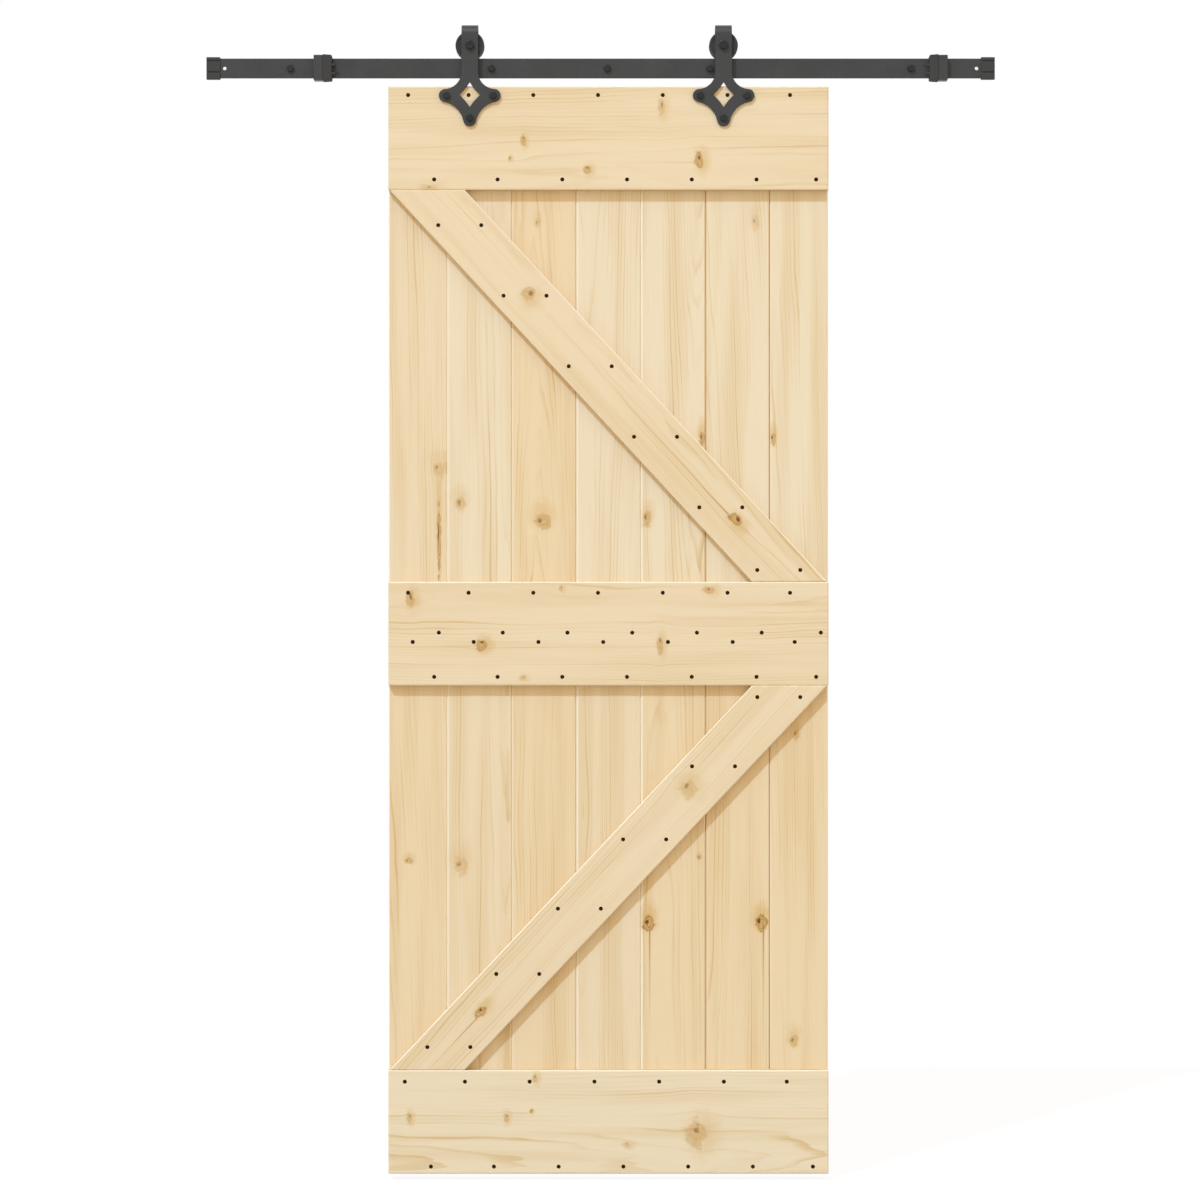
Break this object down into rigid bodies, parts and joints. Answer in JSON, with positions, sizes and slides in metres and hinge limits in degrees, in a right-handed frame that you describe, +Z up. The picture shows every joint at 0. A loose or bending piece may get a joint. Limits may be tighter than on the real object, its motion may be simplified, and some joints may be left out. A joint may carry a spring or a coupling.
{
  "type": "sliding barn door",
  "caption": "Ledged and braced pine barn door leaf that slides on grooved wheels along a flat steel track, with strap hangers, rubber stops, end caps and wall screws.",
  "frame": {"origin": "on the track's back face, midway between its end holes and at half its height", "axes": "+X along the track to the viewer's right, +Y towards the wall, +Z up"},
  "size_m": [1.524, 0.1099, 2.2195],
  "materials": {
    "plank_pine": "planed pine, clear matt",
    "ledge_pine": "planed pine, clear matt",
    "brace_pine": "planed pine, clear matt",
    "wood_screw": "dark brown screw heads",
    "coated_steel": "fine matt powder coat, dark grey",
    "black_fixing": "black oxide",
    "wheel_steel": "turned and coated dark grey",
    "bush_steel": "turned steel",
    "buffer_rubber": "moulded black rubber",
    "cap_plastic": "moulded black plastic"
  },
  "bodies": {
    "track_set": {"track": "coated_steel", "track_spacers": "coated_steel", "wall_screws": "black_fixing", "left_end_cap": "cap_plastic", "left_stop_clamp": "coated_steel", "left_stop_buffer": "buffer_rubber", "right_end_cap": "cap_plastic", "right_stop_clamp": "coated_steel", "right_stop_buffer": "buffer_rubber", "stop_screws": "black_fixing"},
    "door_leaf": {"upper_plank_1": "plank_pine", "upper_plank_2": "plank_pine", "upper_plank_3": "plank_pine", "upper_plank_4": "plank_pine", "upper_plank_5": "plank_pine", "upper_plank_6": "plank_pine", "upper_plank_7": "plank_pine", "lower_plank_1": "plank_pine", "lower_plank_2": "plank_pine", "lower_plank_3": "plank_pine", "lower_plank_4": "plank_pine", "lower_plank_5": "plank_pine", "lower_plank_6": "plank_pine", "lower_plank_7": "plank_pine", "top_ledge": "ledge_pine", "middle_ledge": "ledge_pine", "bottom_ledge": "ledge_pine", "upper_brace": "brace_pine", "lower_brace": "brace_pine", "top_ledge_screws": "wood_screw", "middle_ledge_screws": "wood_screw", "bottom_ledge_screws": "wood_screw", "upper_brace_screws": "wood_screw", "lower_brace_screws": "wood_screw", "left_hanger": "coated_steel", "right_hanger": "coated_steel", "hanger_screws": "black_fixing", "axle_bolts": "black_fixing", "axle_nuts": "black_fixing", "axle_bushes": "bush_steel"},
    "left_roller": {"left_wheel": "wheel_steel"},
    "right_roller": {"right_wheel": "wheel_steel"}
  },
  "joints": [
    {"name": "door_slide", "type": "slide", "parent": "track_set", "child": "door_leaf", "axis": [1, 0, 0], "range_m": [-0.2398, 0.371]},
    {"name": "left_wheel_turn", "type": "hinge", "parent": "door_leaf", "child": "left_roller", "pos_m": [-0.2526, -0.003, 0.043], "axis": [0, 1, 0], "continuous": true},
    {"name": "right_wheel_turn", "type": "hinge", "parent": "door_leaf", "child": "right_roller", "pos_m": [0.2374, -0.003, 0.043], "axis": [0, 1, 0], "continuous": true}
  ],
  "couplings": [
    {"joint": "left_wheel_turn", "follows": "door_slide", "rad_per_m": 42.194},
    {"joint": "right_wheel_turn", "follows": "door_slide", "rad_per_m": 42.194}
  ]
}
